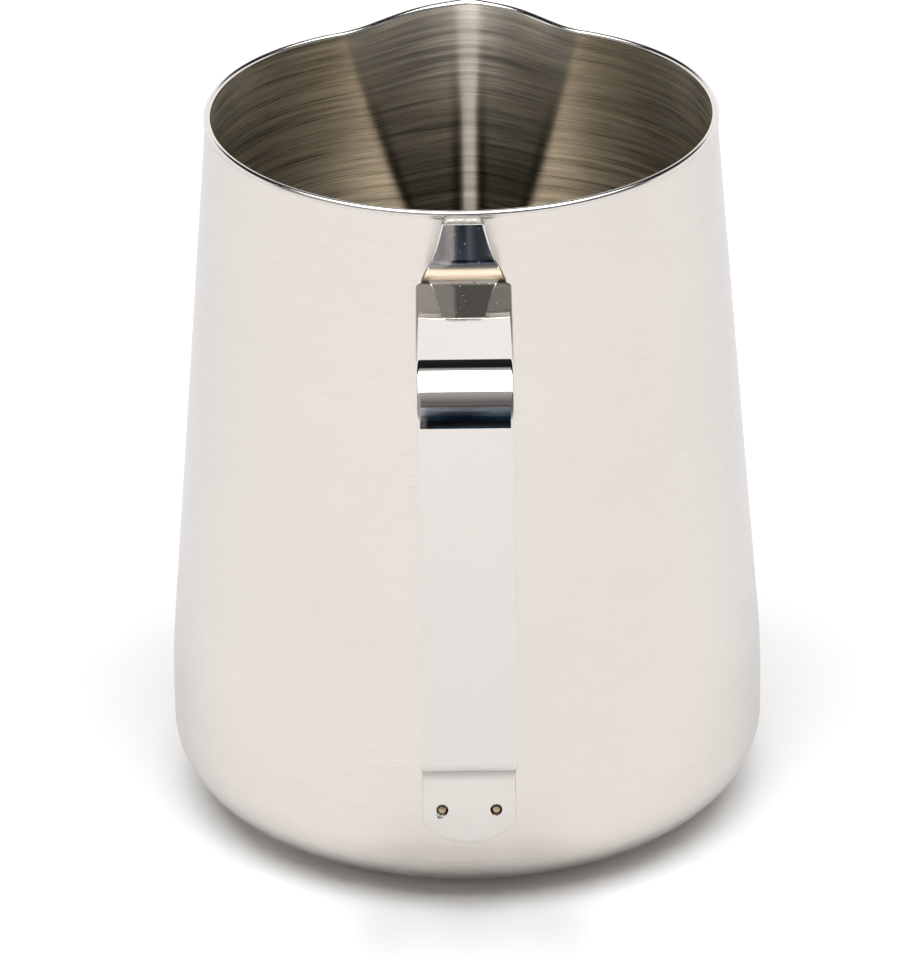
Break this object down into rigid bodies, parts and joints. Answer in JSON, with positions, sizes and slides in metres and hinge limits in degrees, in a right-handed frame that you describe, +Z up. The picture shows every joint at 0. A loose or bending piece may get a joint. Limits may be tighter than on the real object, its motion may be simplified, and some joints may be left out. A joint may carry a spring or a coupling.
{
  "type": "milk frothing pitcher",
  "caption": "Deep-drawn steel jug that narrows to a round rim, with a pressed pouring spout and a bent strap handle welded on opposite it.",
  "frame": {"origin": "centre of the flat base's underside, on the shell's axis", "axes": "+Z up along the shell's axis, +Y towards the spout, the handle along -Y"},
  "size_m": [0.0914, 0.1244, 0.1126],
  "materials": {
    "shell_steel": "stainless sheet, satin brushed round the axis inside and out, polished lip",
    "strap_steel": "stainless flat bar, mirror polished, rounded edges",
    "weld_steel": "fused stainless steel with a straw-coloured heat tint"
  },
  "bodies": {
    "root": {"body_shell": "shell_steel", "handle_strap": "strap_steel", "upper_weld": "weld_steel", "lower_weld_left": "weld_steel", "lower_weld_right": "weld_steel"}
  },
  "joints": []
}
